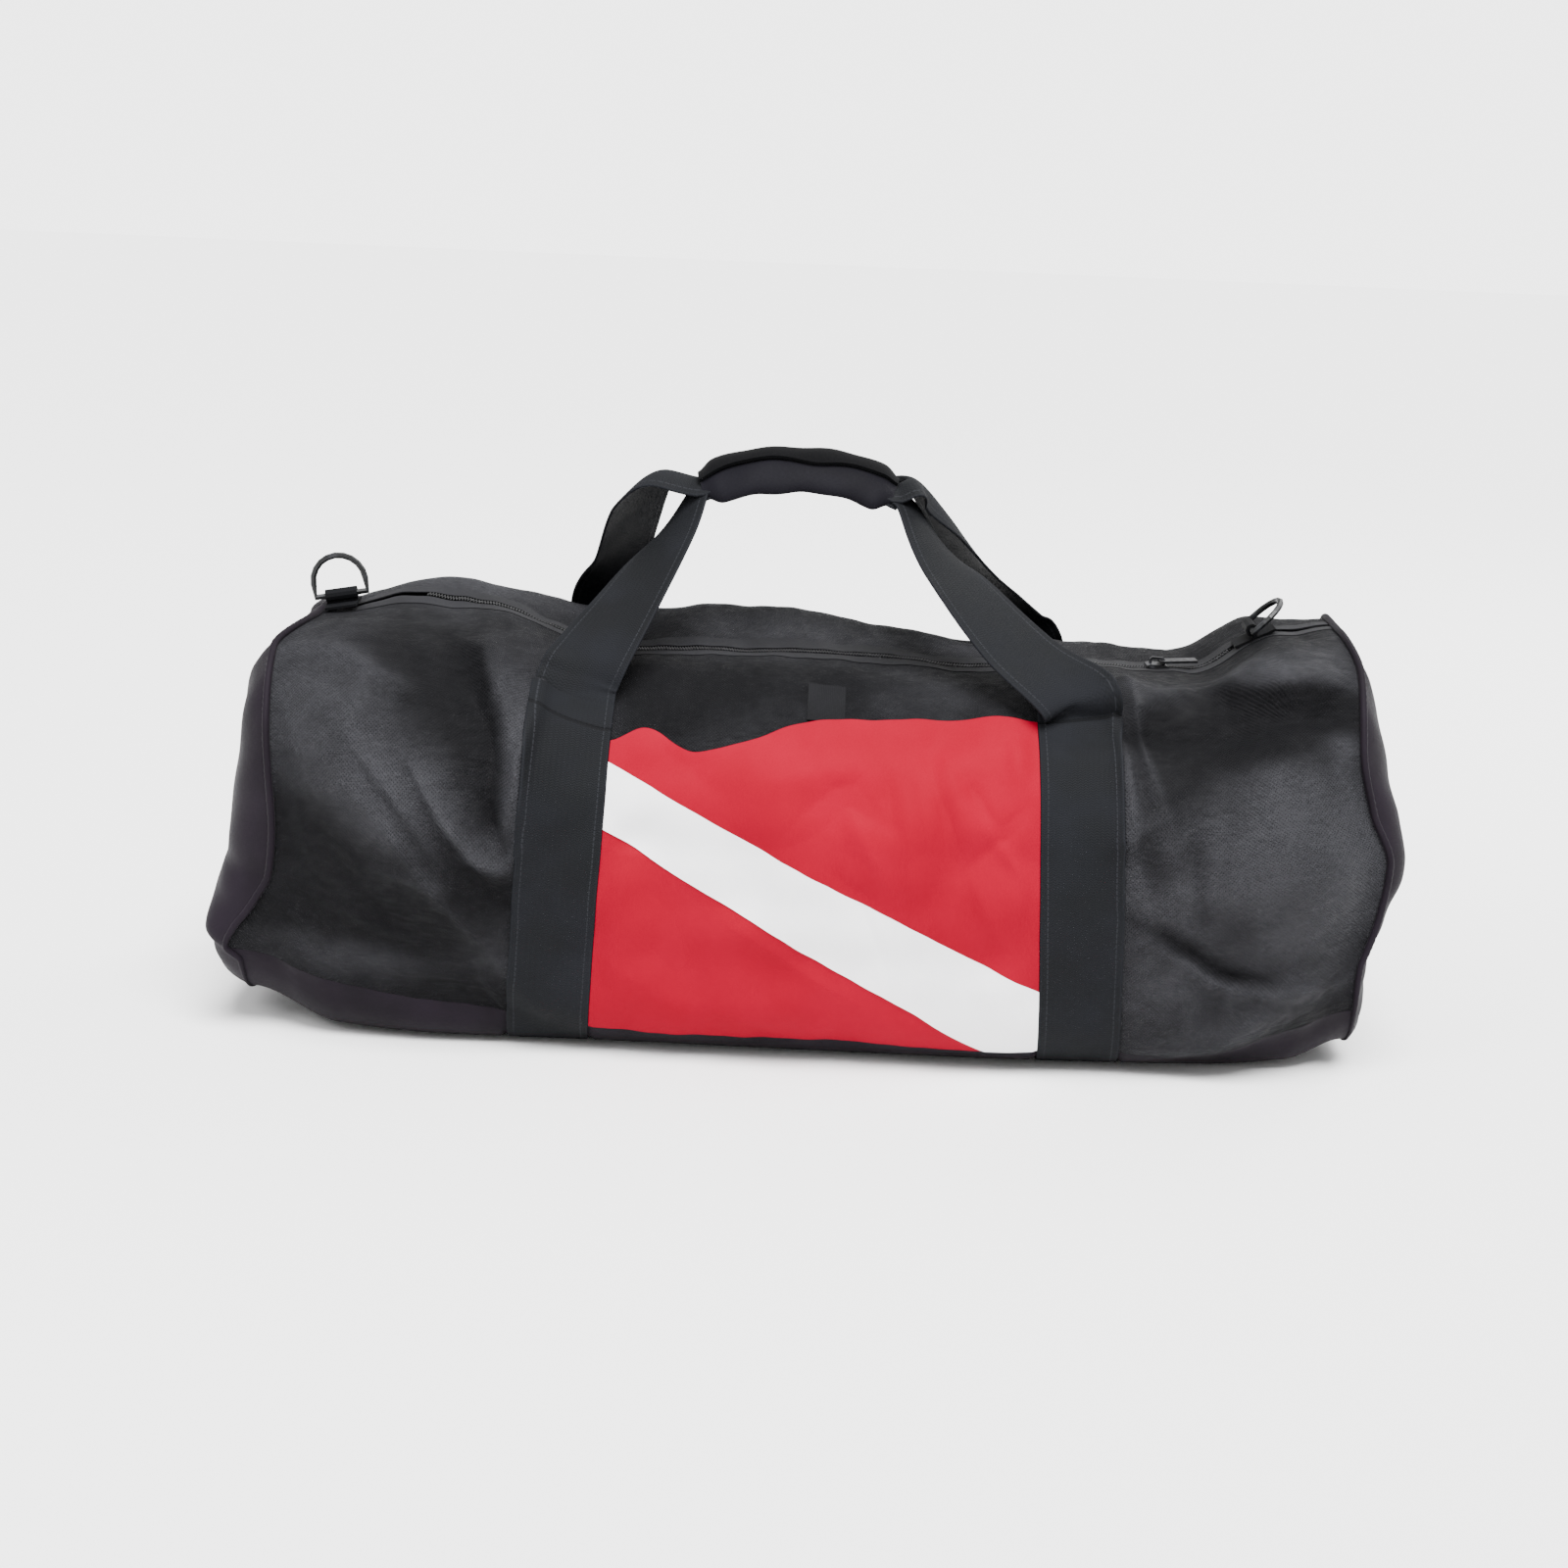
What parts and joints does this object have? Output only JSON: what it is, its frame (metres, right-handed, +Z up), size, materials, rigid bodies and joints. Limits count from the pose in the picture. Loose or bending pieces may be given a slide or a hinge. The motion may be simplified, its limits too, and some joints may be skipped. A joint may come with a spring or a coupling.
{
  "type": "mesh duffel bag",
  "caption": "Filled see-through mesh duffel bag for dive gear, with webbing carry handles joined by a padded grip, a top zip, cloth ends and a red flag panel with a white diagonal stripe",
  "frame": {"origin": "middle of the footprint, on the surface that the bag stands on", "axes": "X along the bag, to the right as seen from the flag's side; Y to the back, away from the flag; Z up"},
  "size_m": [0.7372, 0.3098, 0.3625],
  "materials": {
    "mesh": "coated open mesh, satin",
    "cloth": "coated woven nylon, matt",
    "webbing": "flat woven webbing, matt",
    "grip_pad": "padded woven cloth, matt",
    "flag_red": "woven nylon, soft sheen",
    "flag_white": "woven nylon, soft sheen",
    "zip_tape": "woven tape, matt",
    "zip_coil": "moulded nylon coil",
    "black_metal": "black painted die casting",
    "ring_plastic": "moulded, satin"
  },
  "bodies": {
    "root": {"mesh_front": "mesh", "mesh_back": "mesh", "base_panel": "cloth", "end_panel_left": "cloth", "end_panel_right": "cloth", "piping_left": "cloth", "piping_right": "cloth", "flag_panel": "flag_red", "flag_stripe": "flag_white", "pocket_fastener": "webbing", "webbing_front": "webbing", "webbing_back": "webbing", "grip_wrap": "grip_pad", "zip_tape_front": "zip_tape", "zip_tape_back": "zip_tape", "zip_coil": "zip_coil", "zip_slider": "black_metal", "zip_pull": "black_metal", "d_ring_left_tab": "webbing", "d_ring_left": "ring_plastic", "d_ring_right_tab": "webbing", "d_ring_right": "ring_plastic"}
  },
  "joints": []
}
